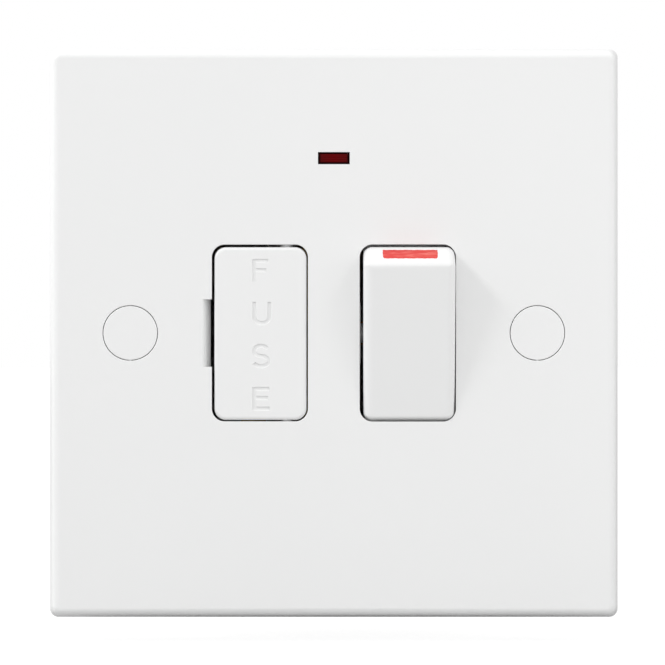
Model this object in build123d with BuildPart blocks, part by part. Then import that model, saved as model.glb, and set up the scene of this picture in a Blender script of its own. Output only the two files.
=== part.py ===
from build123d import *
from math import acos, cos, hypot, radians, sin, sqrt, tan
import os

# Switched fused connection unit: a square wall plate with a double-pole rocker switch, a hinged fuse
# carrier and a neon indicator, and a rear base that carries the conductors.
# Frame: X right, Z up, Y into the wall. A height is a distance in front of the wall plane, y = 0.
# Origin: midway between the two fixing holes, on the wall plane. Lengths are in millimetres.

# Wall plate
PLATE_SIZE = 86.0
PLATE_DEPTH = 9.0
FACE_WALL = 2.5
SKIRT = 2.0
SIDE_DRAFT = 8.0
CORNER_R = 1.3
EDGE_R = 1.1
STIFFENER = 1.8
STIFFENER_SETBACK = 2.0

# Fixing holes and their caps
FIXING_PITCH = 60.3
FIXING_HOLE_D = 4.0
FIXING_LAND = 2.4
HEAD_BORE_D = 7.4
BOSS_WALL = 1.8
CAP_D = 8.0
CAP_THICK = 1.8
CAP_GAP = 0.1
CAP_SPIGOT = 1.4
CAP_SPIGOT_WALL = 0.7
CAP_EDGE_R = 0.12
CAP_NIB_W = 0.3
CAP_NIB_REACH = 0.07

# Apertures for the fuse carrier, on the left, and the rocker, on the right
MODULE_X = 10.95
APERTURE_W = 14.2
APERTURE_H = 26.15
APERTURE_R = 1.9
APERTURE_DRAFT = 8.0
APERTURE_EDGE_R = 0.1
ROCKER_END_DRAFT = 18.0
NOTCH_W = 1.3
NOTCH_H = 10.0
NOTCH_DEPTH = 2.7
NOTCH_LIP_R = 0.35

# Fuse carrier, hinged at its right edge
CARRIER_GAP_LEFT = 0.35
CARRIER_GAP_RIGHT = 0.19
CARRIER_GAP_TOP = 0.34
CARRIER_GAP_BOTTOM = 0.19
CARRIER_R = 1.7
CARRIER_EDGE_R = 0.5
CARRIER_WALL = 1.45
HINGE_INSET = 3.0
HINGE_DEPTH = 1.8
HINGE_PIN_D = 1.8
HINGE_PIN_LENGTH = 1.4
HINGE_BARREL_D = 3.0
HINGE_POST_W = 2.8
CRADLE_WALL = 1.2
CRADLE_GRIP = 1.2

# Cartridge fuse and its clips
FUSE_LENGTH = 25.4
FUSE_CAP_D = 6.35
FUSE_CAP_LENGTH = 6.3
FUSE_CAP_WALL = 0.25
FUSE_CAP_END = 0.5
FUSE_CAP_EDGE_R = 0.4
FUSE_REACH = 5.5
FUSE_GAP = 0.17
CLIP_W = 3.8
CLIP_INSET = 0.9
CLIP_THICK = 0.6
CLIP_GAP = 0.1
CLIP_ARM_ANGLE = 25.0

# Rocker, at rest pressed in at the bottom
ROCKER_GAP_LEFT = 0.52
ROCKER_GAP_RIGHT = 0.14
ROCKER_END_GAP = 0.42
ROCKER_TILT = 8.9
ROCKER_LOW_RIDGE = 0.3
ROCKER_RIDGE_R = 0.5
ROCKER_EDGE_R = 1.3
ROCKER_FACE_WALL = 1.8
ROCKER_SIDE_WALL = 1.4
ROCKER_END_WALL = 1.6
ROCKER_SKIRT = 1.0
PIVOT_DEPTH = 5.4
TRUNNION_D = 3.0
TRUNNION_LENGTH = 1.6
SADDLE_RIB = 1.6
SADDLE_RIB_LENGTH = 9.0
SADDLE_RIB_GAP = 0.37
TRUNNION_POST_W = 6.0
STOP_GAP = 0.15

# Sprung plungers in the rocker, one for each pole
POLE_PITCH = 6.8
PLUNGER_D = 3.3
PLUNGER_TIP_R = 1.2
PLUNGER_GAP = 0.12
PLUNGER_BODY = 9.0
TUBE_D = 5.2
TUBE_REACH = 3.0
SPRING_WIRE = 0.4
SPRING_COILS = 5.0
SPRING_LENGTH = 4.8
SLIDE_GAP = 0.1

# See-saw contacts: at rest the upper wing lies parallel to the wall
CONTACT_TILT = 7.2
CONTACT_BAR = 1.0
CONTACT_W = 3.4
CONTACT_ARM = 7.6
CONTACT_KNUCKLE_R = 0.95
SADDLE_HEIGHT = 6.0
SADDLE_W = 3.4
TIP_D = 2.6
TIP_THICK = 0.6
TIP_REACH = 6.0
TIP_GAP = 0.08

# Conductor strips and terminals
STRIP = 0.8
STRIP_W = 3.6
STRIP_BEND = 1.0
BLOCK_W = 6.6
BLOCK_DEPTH = 8.5
BLOCK_LENGTH = 6.8
BLOCK_EDGE = 0.3
TERMINAL_GAP = 1.3
EARTH_X = -3.0
WIRE_BORE_D = 4.4
WIRE_LAND = 0.8
PINCH_SCREW_D = 3.5
PINCH_HEAD_D = 4.2
PINCH_HEAD = 1.3
PINCH_HEAD_R = 0.25
PINCH_BACK_OFF = 0.4
SCREW_SLOT = 0.7
SCREW_SLOT_DEPTH = 0.65

# Rear base
BASE_W = 47.0
BASE_H = 62.0
BASE_R = 2.5
BASE_EDGE = 0.6
BASE_DEPTH = 21.5
BASE_FLOOR = 2.0
BASE_WALL = 1.8
POCKET_RIB = 0.9
POCKET_H = 3.0
POCKET_GAP = 0.1
PARTITION_LENGTH = 28.0
PARTITION_H = 9.0
BARRIER = 1.2
STOP_W = 2.2
WIRE_NOTCH_D = 5.2
SCREW_ACCESS_D = 4.8
EAR_REACH = 3.3
EAR_Z = 19.0
EAR_R = 3.2
EAR_THICK = 2.0
BASE_SCREW_D = 2.9
BASE_SCREW_HEAD_D = 5.2
BASE_SCREW_HEAD = 1.8
BASE_SCREW_HEAD_R = 0.7
BASE_SCREW_GRIP = 4.8
BASE_SCREW_RECESS = 2.6
BASE_SCREW_RECESS_DEPTH = 0.9
SCREW_GAP = 0.05

# Neon indicator
LENS_W = 4.6
LENS_H = 1.7
LENS_Z = 25.9
LENS_GAP = 0.05
LENS_FLANGE = 1.2
LENS_FLANGE_THICK = 1.0
LENS_PIPE = 1.3
LAMP_D = 4.0
LAMP_LENGTH = 9.0
LAMP_END_R = 0.8
LAMP_GAP = 0.3
BRACKET = 1.2
BRACKET_PITCH = 6.0
BRACKET_DEPTH = 3.4
BRACKET_DROP = 3.0
RESISTOR_D = 2.2
RESISTOR_LENGTH = 6.0
RESISTOR_END_R = 0.45
RESISTOR_DROP = 4.0
LEAD_D = 0.8
LEAD_BEND = 1.7

# Heights and places that follow from the sizes above
face_h = PLATE_DEPTH
inner_h = face_h - FACE_WALL
back_h = inner_h - BASE_DEPTH
floor_h = back_h + BASE_FLOOR
base_end = BASE_H / 2 - BASE_WALL
fixings = [(-FIXING_PITCH / 2, 0), (FIXING_PITCH / 2, 0)]
ear_x = BASE_W / 2 + EAR_REACH
ears = [(x, z) for x in (-ear_x, ear_x) for z in (-EAR_Z, EAR_Z)]

aperture_left = -MODULE_X - APERTURE_W / 2
carrier_left = aperture_left + CARRIER_GAP_LEFT
carrier_right = -MODULE_X + APERTURE_W / 2 - CARRIER_GAP_RIGHT
carrier_w = carrier_right - carrier_left
carrier_h = APERTURE_H - CARRIER_GAP_TOP - CARRIER_GAP_BOTTOM
carrier_x = (carrier_left + carrier_right) / 2
carrier_z = (CARRIER_GAP_BOTTOM - CARRIER_GAP_TOP) / 2
hinge = Vector(carrier_right - HINGE_INSET, face_h - HINGE_DEPTH)
pin_end = carrier_h / 2 + HINGE_PIN_LENGTH
carrier_back_h = face_h - CARRIER_WALL
fuse = Vector(hinge.X - FUSE_REACH, carrier_back_h - FUSE_GAP - FUSE_CAP_D / 2)
fuse_tube_r = FUSE_CAP_D / 2 - FUSE_CAP_WALL

rocker_left = MODULE_X - APERTURE_W / 2 + ROCKER_GAP_LEFT
rocker_right = MODULE_X + APERTURE_W / 2 - ROCKER_GAP_RIGHT
rocker_w = rocker_right - rocker_left
rocker_x = (rocker_left + rocker_right) / 2
pivot_h = face_h - PIVOT_DEPTH
rocker_r = hypot(APERTURE_H / 2 - ROCKER_END_GAP, PIVOT_DEPTH)
half_span = acos((PIVOT_DEPTH + ROCKER_LOW_RIDGE) / rocker_r) - radians(ROCKER_TILT)
rocker_face = rocker_r * cos(half_span)
rib_xs = (rocker_left - SADDLE_RIB_GAP - SADDLE_RIB / 2, rocker_right + SADDLE_RIB_GAP + SADDLE_RIB / 2)
rib_rear_h = pivot_h - TRUNNION_D / 2 - SLIDE_GAP
skirt_end = sqrt(rocker_r**2 - ROCKER_SKIRT**2)
stop_drop = ROCKER_SKIRT * cos(radians(ROCKER_TILT)) + skirt_end * sin(radians(ROCKER_TILT))
stop_h = pivot_h - stop_drop - STOP_GAP

live_x = rocker_x - POLE_PITCH / 2
neutral_x = rocker_x + POLE_PITCH / 2
contact_h = floor_h + SADDLE_HEIGHT
fixed_h = contact_h - 2 * TIP_THICK - TIP_GAP
valley = (PLUNGER_TIP_R + CONTACT_BAR) / cos(radians(CONTACT_TILT)) + PLUNGER_GAP
tip_reach = pivot_h - contact_h - valley

block_front_h = floor_h + BLOCK_DEPTH
block_z = base_end - BLOCK_LENGTH / 2
bore_h = block_front_h - WIRE_LAND - WIRE_BORE_D / 2
neutral_block_x = live_x + BLOCK_W + TERMINAL_GAP
terminals = {
    "supply_earth": (EARTH_X, block_z),
    "supply_live": (live_x, block_z),
    "supply_neutral": (neutral_block_x, block_z),
    "load_live": (fuse.X, -block_z),
    "load_earth": (EARTH_X, -block_z),
    "load_neutral": (neutral_block_x, -block_z),
}

clip_mid_z = FUSE_LENGTH / 2 - CLIP_INSET - CLIP_W / 2
clip_r = FUSE_CAP_D / 2 + CLIP_GAP + CLIP_THICK / 2
lens_back_h = inner_h - LENS_FLANGE_THICK - LENS_PIPE
lamp_h = lens_back_h - LAMP_GAP - LAMP_D / 2
resistor_x = fuse.X + sqrt(clip_r**2 - (fuse.Y - lamp_h) ** 2)


def front(height):
    """Plane parallel to the wall, facing the viewer: local axes are X and Z."""
    return Plane.XZ.offset(height)


def side(x, height=0, turn=0):
    """Upright plane at x, turned about X: local axes are the height in front of the wall and Z."""
    ahead = Vector(0, -cos(radians(turn)), -sin(radians(turn)))
    return Plane((x, -height, 0), x_dir=ahead, z_dir=(-1, 0, 0))


def plan(z):
    """Level plane at z: local axes are X and the height in front of the wall."""
    return Plane((0, 0, z), x_dir=(1, 0, 0), z_dir=(0, 0, -1))


def drafted(center, size, radius, start, end, drafts, mode=Mode.ADD):
    """Rounded block from one height to another, its sides and ends leaning in by their draft angles."""
    rise = abs(end - start)
    sections = []
    for height, share in ((start, 0), (end, 2 * rise)):
        with BuildSketch(front(height)) as outline:
            with Locations(center):
                lean_x, lean_z = (share * tan(radians(draft)) for draft in drafts)
                RectangleRounded(size[0] - lean_x, size[1] - lean_z, radius)
        sections.append(outline.sketch)
    loft(sections, mode=mode)


def open_slot(plane, center, width, mouth, length, mode=Mode.SUBTRACT):
    """Slot with a round end at center, open towards the local height mouth, through length both ways."""
    x, height = center
    with BuildSketch(plane) as slot:
        with Locations(center):
            Circle(width / 2)
        with Locations((x, (height + mouth) / 2)):
            Rectangle(width, abs(height - mouth))
    extrude(slot.sketch, amount=length, both=True, mode=mode)


def folded_strip(x, width, *points):
    """Strip folded along points of (height, z), which run along its rear surface."""
    with BuildSketch(side(x)) as outline:
        with BuildLine():
            FilletPolyline(*points, radius=STRIP_BEND)
            offset(amount=STRIP, side=Side.RIGHT)
        make_face()
    extrude(outline.sketch, amount=width / 2, both=True)


def contact_saddle(x):
    """Upright with a round seat on top, in which a see-saw contact rocks."""
    seat_r = CONTACT_KNUCKLE_R + SLIDE_GAP
    top = contact_h - seat_r / 2
    with BuildSketch(side(x)) as outline:
        with Locations(((floor_h + top) / 2, 0)):
            Rectangle(top - floor_h, SADDLE_W)
        with Locations((contact_h, 0)):
            Circle(seat_r, mode=Mode.SUBTRACT)
    extrude(outline.sketch, amount=STRIP_W / 2, both=True)


def fuse_clip(z):
    """Clip on a stem: its arms follow the swing of the fuse about the carrier's hinge."""
    reach = (fuse - hinge).length
    outward = (fuse - hinge).normalized()
    swing = Vector(outward.Y, -outward.X)

    def on_arc(radius, angle):
        turned = outward * cos(radians(angle)) + swing * sin(radians(angle))
        return hinge + turned * radius

    outer, inner = reach + clip_r, reach - clip_r
    with BuildSketch(plan(z)) as outline:
        with BuildLine():
            ThreePointArc(*(on_arc(outer, CLIP_ARM_ANGLE * share) for share in (1, 0.5, 0)))
            ThreePointArc(on_arc(outer, 0), fuse - swing * clip_r, on_arc(inner, 0))
            ThreePointArc(*(on_arc(inner, CLIP_ARM_ANGLE * share) for share in (0, 0.5, 1)))
            offset(amount=CLIP_THICK / 2)
        make_face()
        stem_top = fuse.Y - clip_r
        with Locations((fuse.X, (floor_h + stem_top) / 2)):
            Rectangle(STRIP, stem_top - floor_h)
    extrude(outline.sketch, amount=CLIP_W / 2, both=True)


def save(piece, name):
    """Label a finished piece and write its file."""
    piece.part.label = name
    export_step(piece.part, f"parts/{name}.step")


os.makedirs("parts", exist_ok=True)

# Front plate: drafted shell with bosses, saddle ribs and two drafted apertures
with BuildPart() as front_plate:
    drafted((0, 0), (PLATE_SIZE, PLATE_SIZE), CORNER_R, 0, face_h, (SIDE_DRAFT, SIDE_DRAFT))
    fillet(front_plate.faces().sort_by(Axis.Y)[0].edges(), EDGE_R)
    hollow = PLATE_SIZE - 2 * SKIRT
    drafted((0, 0), (hollow, hollow), CORNER_R, 0, inner_h, (SIDE_DRAFT, SIDE_DRAFT), Mode.SUBTRACT)
    with BuildSketch(front(0)):
        with Locations(*fixings):
            Circle(HEAD_BORE_D / 2 + BOSS_WALL)
    extrude(amount=inner_h)
    stiffener_length = hollow / 2 - FIXING_PITCH / 2
    with BuildSketch(front(STIFFENER_SETBACK)):
        with GridLocations(FIXING_PITCH + stiffener_length, 0, 2, 1):
            Rectangle(stiffener_length, STIFFENER)
    extrude(amount=inner_h - STIFFENER_SETBACK)
    with BuildSketch(front(EAR_THICK)):
        with Locations(*ears):
            Circle(EAR_R)
    extrude(amount=inner_h - EAR_THICK)
    for rib_x in rib_xs:
        with BuildSketch(side(rib_x)):
            with Locations(((rib_rear_h + inner_h) / 2, 0)):
                Rectangle(inner_h - rib_rear_h, SADDLE_RIB_LENGTH)
            with Locations((pivot_h, 0)):
                Circle(TRUNNION_D / 2 + SLIDE_GAP, mode=Mode.SUBTRACT)
            with Locations(((rib_rear_h + pivot_h) / 2, 0)):
                Rectangle(pivot_h - rib_rear_h, TRUNNION_D + 2 * SLIDE_GAP, mode=Mode.SUBTRACT)
        extrude(amount=SADDLE_RIB / 2, both=True)
    for aperture_x, drafts in (
        (-MODULE_X, (APERTURE_DRAFT, APERTURE_DRAFT)),
        (MODULE_X, (APERTURE_DRAFT, ROCKER_END_DRAFT)),
    ):
        spread = [-draft for draft in drafts]
        size = (APERTURE_W, APERTURE_H)
        drafted((aperture_x, 0), size, APERTURE_R, face_h, inner_h, spread, Mode.SUBTRACT)
    face = front_plate.faces().sort_by(Axis.Y)[0]
    fillet([edge for wire in face.inner_wires() for edge in wire.edges()], APERTURE_EDGE_R)
    notch_left = aperture_left - NOTCH_W
    with BuildSketch(plan(0)):
        with BuildLine():
            ramp_end = (aperture_left, face_h - NOTCH_DEPTH)
            Polyline((notch_left, face_h), (aperture_left, face_h), ramp_end, close=True)
        make_face()
    extrude(amount=NOTCH_H / 2, both=True, mode=Mode.SUBTRACT)
    fillet(front_plate.edges().sort_by_distance((notch_left, -face_h, 0))[0], NOTCH_LIP_R)
    slot_w = HINGE_PIN_D + 2 * SLIDE_GAP
    open_slot(plan(carrier_z), (hinge.X, hinge.Y), slot_w, inner_h, pin_end + SLIDE_GAP)
    sink_h = FIXING_LAND + (HEAD_BORE_D - FIXING_HOLE_D) / 2
    with Locations(front(sink_h)):
        with GridLocations(FIXING_PITCH, 0, 2, 1):
            CounterSinkHole(FIXING_HOLE_D / 2, HEAD_BORE_D / 2, counter_sink_angle=90)
    with Locations(front(face_h)):
        with GridLocations(FIXING_PITCH, 0, 2, 1):
            Hole(CAP_D / 2 + CAP_GAP, depth=CAP_THICK)
    cap_rims = front_plate.edges().filter_by(GeomType.CIRCLE).group_by(Axis.Y)[0]
    fillet(cap_rims.filter_by(lambda rim: rim.radius > CAP_D / 2), CAP_EDGE_R)
    with BuildSketch(front(EAR_THICK)):
        with Locations(*ears):
            Circle(BASE_SCREW_D / 2 + SCREW_GAP)
    extrude(amount=BASE_SCREW_GRIP + SCREW_GAP, mode=Mode.SUBTRACT)
    with BuildSketch(front(inner_h)):
        with Locations((0, LENS_Z)):
            Rectangle(LENS_W + 2 * LENS_GAP, LENS_H + 2 * LENS_GAP)
    extrude(amount=FACE_WALL, mode=Mode.SUBTRACT)
save(front_plate, "front_plate")

# Screw caps: a disc flush with the face, on a hollow spigot, with a gate nib left at its lower edge
for name, fixing in zip(("screw_cap_left", "screw_cap_right"), fixings):
    with BuildPart() as screw_cap:
        with BuildSketch(front(face_h)):
            with Locations(fixing):
                Circle(CAP_D / 2)
        extrude(amount=-CAP_THICK)
        fillet(screw_cap.faces().sort_by(Axis.Y)[0].edges(), CAP_EDGE_R)
        with BuildSketch(front(face_h - CAP_NIB_REACH)):
            with Locations((fixing[0], -CAP_D / 2)):
                Rectangle(CAP_NIB_W, 2 * CAP_NIB_REACH)
        extrude(amount=CAP_NIB_REACH - CAP_THICK)
        with BuildSketch(front(face_h - CAP_THICK)):
            with Locations(fixing):
                Circle(HEAD_BORE_D / 2 - CAP_GAP)
                Circle(HEAD_BORE_D / 2 - CAP_GAP - CAP_SPIGOT_WALL, mode=Mode.SUBTRACT)
        extrude(amount=-CAP_SPIGOT)
    save(screw_cap, name)

# Rear base: a tray with pockets, posts and partitions, open to the plate
with BuildPart() as rear_base:
    with BuildSketch(front(back_h)):
        RectangleRounded(BASE_W, BASE_H, BASE_R)
    extrude(amount=BASE_DEPTH)
    chamfer(rear_base.faces().sort_by(Axis.Y)[-1].edges(), BASE_EDGE)
    with BuildSketch(front(floor_h)):
        Rectangle(BASE_W - 2 * BASE_WALL, 2 * base_end)
    extrude(amount=inner_h - floor_h, mode=Mode.SUBTRACT)
    ear_root = BASE_W / 2 - BASE_WALL / 2
    with BuildSketch(front(0)):
        with Locations(*ears):
            Circle(EAR_R)
        with GridLocations(ear_x + ear_root, 2 * EAR_Z, 2, 2):
            Rectangle(ear_x - ear_root, 2 * EAR_R)
        with Locations(*ears):
            Circle(BASE_SCREW_D / 2 + SCREW_GAP, mode=Mode.SUBTRACT)
    extrude(amount=EAR_THICK)
    pocket_w = BLOCK_W + 2 * POCKET_GAP
    pocket_end = base_end - BLOCK_LENGTH - POCKET_GAP
    with BuildSketch(front(floor_h)):
        for x, z in terminals.values():
            row = 1 if z > 0 else -1
            with Locations((x, row * (base_end + pocket_end - POCKET_RIB) / 2)):
                Rectangle(pocket_w + 2 * POCKET_RIB, base_end - pocket_end + POCKET_RIB)
        for x, z in terminals.values():
            row = 1 if z > 0 else -1
            with Locations((x, row * (base_end + pocket_end) / 2)):
                Rectangle(pocket_w, base_end - pocket_end, mode=Mode.SUBTRACT)
    extrude(amount=POCKET_H)
    partition_top = floor_h + PARTITION_H
    with BuildSketch(side(rib_xs[0])):
        with Locations(((floor_h + partition_top) / 2, 0)):
            Rectangle(PARTITION_H, PARTITION_LENGTH)
    extrude(amount=SADDLE_RIB / 2, both=True)
    for rib_x in rib_xs:
        with BuildSketch(side(rib_x)):
            with Locations(((floor_h + rib_rear_h) / 2, 0)):
                Rectangle(rib_rear_h - floor_h, TRUNNION_POST_W)
        extrude(amount=SADDLE_RIB / 2, both=True)
    with BuildSketch(side(rocker_x)):
        with Locations(((floor_h + partition_top) / 2, 0)):
            Rectangle(PARTITION_H, 2 * skirt_end)
        with GridLocations(0, 2 * skirt_end - STOP_W, 1, 2):
            with Locations(((floor_h + stop_h) / 2, 0)):
                Rectangle(stop_h - floor_h, STOP_W)
    extrude(amount=BARRIER / 2, both=True)
    with BuildSketch(front(floor_h)):
        with Locations((live_x, TIP_REACH), (neutral_x, TIP_REACH)):
            Rectangle(STRIP_W, TIP_D)
    extrude(amount=fixed_h - STRIP - floor_h)
    clip_post_w = CLIP_W + 2 * BASE_WALL
    clip_zs = (carrier_z + clip_mid_z, carrier_z - clip_mid_z)
    with BuildSketch(front(floor_h)):
        for clip_z in clip_zs:
            with Locations((fuse.X, clip_z)):
                Rectangle(clip_post_w, CLIP_W - 2 * POCKET_GAP)
    extrude(amount=PARTITION_H)
    post_end = pin_end + SLIDE_GAP
    post_start = carrier_h / 2 + 2 * SLIDE_GAP
    with BuildSketch(front(floor_h)):
        for end in (1, -1):
            with Locations((hinge.X, carrier_z + end * (post_start + post_end) / 2)):
                Rectangle(HINGE_POST_W, post_end - post_start)
    extrude(amount=hinge.Y - HINGE_PIN_D / 2 - SLIDE_GAP - floor_h)
    bracket_foot = LENS_Z - BRACKET_DROP
    for bracket_x in (-BRACKET_PITCH / 2, BRACKET_PITCH / 2):
        with BuildSketch(side(bracket_x)):
            with Locations((lamp_h - BRACKET_DEPTH / 2, (bracket_foot + base_end) / 2)):
                Rectangle(BRACKET_DEPTH, base_end - bracket_foot)
            with Locations((lamp_h, LENS_Z)):
                Circle(LAMP_D / 2 + SLIDE_GAP, mode=Mode.SUBTRACT)
        extrude(amount=BRACKET / 2, both=True)
    with BuildSketch(front(floor_h)):
        with Locations(((live_x + fuse.X) / 2, 0)):
            Rectangle(live_x - fuse.X, STRIP_W + 2 * POCKET_GAP)
        for clip_z in clip_zs:
            with Locations((fuse.X, clip_z)):
                Rectangle(CLIP_W + 2 * POCKET_GAP, CLIP_W)
    extrude(amount=STRIP + POCKET_GAP, mode=Mode.SUBTRACT)
    with BuildSketch(front(floor_h)):
        for clip_z in clip_zs:
            with Locations((fuse.X, clip_z)):
                Rectangle(STRIP + 2 * POCKET_GAP, CLIP_W)
    extrude(amount=PARTITION_H, mode=Mode.SUBTRACT)
    for x, z in terminals.values():
        wall_z = (base_end + BASE_WALL / 2) * (1 if z > 0 else -1)
        open_slot(plan(wall_z), (x, bore_h), WIRE_NOTCH_D, back_h, BASE_WALL / 2)
    with BuildSketch(front(back_h)):
        with Locations(*terminals.values()):
            Circle(SCREW_ACCESS_D / 2)
    extrude(amount=BASE_FLOOR, mode=Mode.SUBTRACT)
save(rear_base, "rear_base")

# Base screws: four self-tapping screws, from the base's ears into the plate's bosses
with BuildPart() as base_screws:
    with BuildSketch(front(0)):
        with Locations(*ears):
            Circle(BASE_SCREW_HEAD_D / 2)
    extrude(amount=-BASE_SCREW_HEAD)
    fillet(base_screws.edges().filter_by(GeomType.CIRCLE).group_by(Axis.Y)[-1], BASE_SCREW_HEAD_R)
    with BuildSketch(front(0)):
        with Locations(*ears):
            Circle(BASE_SCREW_D / 2)
    extrude(amount=EAR_THICK + BASE_SCREW_GRIP)
    with BuildSketch(front(-BASE_SCREW_HEAD)):
        with Locations(*ears):
            Rectangle(BASE_SCREW_RECESS, SCREW_SLOT)
            Rectangle(SCREW_SLOT, BASE_SCREW_RECESS)
    extrude(amount=BASE_SCREW_RECESS_DEPTH, mode=Mode.SUBTRACT)
save(base_screws, "base_screws")

# Terminal blocks: a wire bore along Z and a tapped hole for the pinch screw
for name, (x, z) in terminals.items():
    with BuildPart() as block:
        with BuildSketch(front(floor_h)):
            with Locations((x, z)):
                Rectangle(BLOCK_W, BLOCK_LENGTH)
        extrude(amount=BLOCK_DEPTH)
        chamfer(block.edges().filter_by(Axis.Y), BLOCK_EDGE)
        with BuildSketch(plan(z)):
            with Locations((x, bore_h)):
                Circle(WIRE_BORE_D / 2)
        extrude(amount=BLOCK_LENGTH / 2, both=True, mode=Mode.SUBTRACT)
        with BuildSketch(front(floor_h)):
            with Locations((x, z)):
                Circle(PINCH_SCREW_D / 2 + SCREW_GAP)
        extrude(amount=bore_h - floor_h, mode=Mode.SUBTRACT)
    save(block, f"{name}_block")

# Terminal screws: slotted pinch screws, backed off clear of the wire bores
with BuildPart() as terminal_screws:
    head_front = floor_h - PINCH_BACK_OFF
    screw_tip = bore_h - WIRE_BORE_D / 2 - SLIDE_GAP
    with BuildSketch(front(head_front)):
        with Locations(*terminals.values()):
            Circle(PINCH_HEAD_D / 2)
    extrude(amount=-PINCH_HEAD)
    fillet(terminal_screws.edges().filter_by(GeomType.CIRCLE).group_by(Axis.Y)[-1], PINCH_HEAD_R)
    with BuildSketch(front(head_front)):
        with Locations(*terminals.values()):
            Circle(PINCH_SCREW_D / 2)
    extrude(amount=screw_tip - head_front)
    with BuildSketch(front(head_front - PINCH_HEAD)):
        with Locations(*terminals.values()):
            Rectangle(PINCH_HEAD_D, SCREW_SLOT)
    extrude(amount=SCREW_SLOT_DEPTH, mode=Mode.SUBTRACT)
save(terminal_screws, "terminal_screws")

# Supply strips: from a terminal block's front down to a fixed contact
strip_fold = block_z - BLOCK_LENGTH / 2 - STRIP_BEND
for name, x in (("supply_live_strip", live_x), ("supply_neutral_strip", neutral_x)):
    with BuildPart() as supply_strip:
        folded_strip(
            x,
            STRIP_W,
            (fixed_h - STRIP, TIP_REACH - TIP_D / 2),
            (fixed_h - STRIP, strip_fold),
            (block_front_h, strip_fold),
            (block_front_h, block_z + BLOCK_LENGTH / 2 - BLOCK_EDGE),
        )
    save(supply_strip, name)
with BuildPart() as fixed_tips:
    with BuildSketch(front(fixed_h)):
        with Locations((live_x, TIP_REACH), (neutral_x, TIP_REACH)):
            Circle(TIP_D / 2)
    extrude(amount=TIP_THICK)
save(fixed_tips, "fixed_tips")

# Live link: along the floor from the live saddle to the upper fuse clip
with BuildPart() as live_link:
    clip_end = carrier_z + clip_mid_z + CLIP_W / 2
    with BuildSketch(front(floor_h)):
        with Locations(((live_x + fuse.X) / 2, 0)):
            Rectangle(live_x - fuse.X + STRIP_W, STRIP_W)
        with Locations((fuse.X, clip_end / 2)):
            Rectangle(CLIP_W, clip_end)
    extrude(amount=STRIP)
    contact_saddle(live_x)
    fuse_clip(carrier_z + clip_mid_z)
save(live_link, "live_link")

# Load strips: from the lower fuse clip and from the neutral saddle to their terminal blocks
with BuildPart() as load_live_strip:
    folded_strip(
        fuse.X,
        CLIP_W,
        (block_front_h, -block_z - BLOCK_LENGTH / 2 + BLOCK_EDGE),
        (block_front_h, -strip_fold),
        (floor_h, -strip_fold),
        (floor_h, carrier_z - clip_mid_z + CLIP_W / 2),
    )
    fuse_clip(carrier_z - clip_mid_z)
save(load_live_strip, "load_live_strip")
with BuildPart() as load_neutral_strip:
    folded_strip(
        neutral_x,
        STRIP_W,
        (block_front_h, -block_z - BLOCK_LENGTH / 2 + BLOCK_EDGE),
        (block_front_h, -strip_fold),
        (floor_h, -strip_fold),
        (floor_h, SADDLE_W / 2),
    )
    contact_saddle(neutral_x)
save(load_neutral_strip, "load_neutral_strip")

# Earth strap: flat across the fronts of the two earth blocks
with BuildPart() as earth_strap:
    with BuildSketch(front(block_front_h)):
        with Locations((EARTH_X, 0)):
            Rectangle(STRIP_W, 2 * block_z + BLOCK_LENGTH - 2 * BLOCK_EDGE)
    extrude(amount=STRIP)
save(earth_strap, "earth_strap")

# Rocker: a curved-ended shell with trunnions and two spring tubes
rocker_side = side(rocker_x, pivot_h, ROCKER_TILT)
rocker_front = Plane(rocker_side.origin, x_dir=(1, 0, 0), z_dir=rocker_side.x_dir)
with BuildPart() as rocker:
    with BuildSketch(rocker_side) as profile:
        Circle(rocker_r)
        with Locations(((rocker_face - ROCKER_SKIRT) / 2, 0)):
            Rectangle(rocker_face + ROCKER_SKIRT, 2 * rocker_r, mode=Mode.INTERSECT)
        fillet(profile.vertices().group_by(Axis.X)[-1], ROCKER_RIDGE_R)
    extrude(amount=rocker_w / 2, both=True)
    flanks = rocker.faces().filter_by(Axis.X)
    rear = rocker.faces().sort_by(rocker_front.location.z_axis)[0]
    fillet(flanks.edges() - rear.edges(), ROCKER_EDGE_R)
    inner_face = rocker_face - ROCKER_FACE_WALL
    with BuildSketch(rocker_side):
        Circle(rocker_r - ROCKER_END_WALL)
        with Locations(((inner_face - ROCKER_SKIRT) / 2, 0)):
            Rectangle(inner_face + ROCKER_SKIRT, 2 * rocker_r, mode=Mode.INTERSECT)
    extrude(amount=rocker_w / 2 - ROCKER_SIDE_WALL, both=True, mode=Mode.SUBTRACT)
    with BuildSketch(rocker_front.offset(-TUBE_REACH)):
        with GridLocations(POLE_PITCH, 0, 2, 1):
            Circle(TUBE_D / 2)
    extrude(amount=TUBE_REACH + inner_face)
    spring_seat = PLUNGER_BODY + SPRING_LENGTH - tip_reach
    with BuildSketch(rocker_front.offset(-TUBE_REACH)):
        with GridLocations(POLE_PITCH, 0, 2, 1):
            Circle(PLUNGER_D / 2 + SLIDE_GAP)
    extrude(amount=TUBE_REACH + spring_seat, mode=Mode.SUBTRACT)
    for hand in (-1, 1):
        root_x = rocker_x + hand * (rocker_w / 2 - ROCKER_SIDE_WALL / 2)
        with BuildSketch(side(root_x, pivot_h)):
            Circle(TRUNNION_D / 2)
        extrude(amount=-hand * (TRUNNION_LENGTH + ROCKER_SIDE_WALL / 2))
save(rocker, "rocker")

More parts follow.
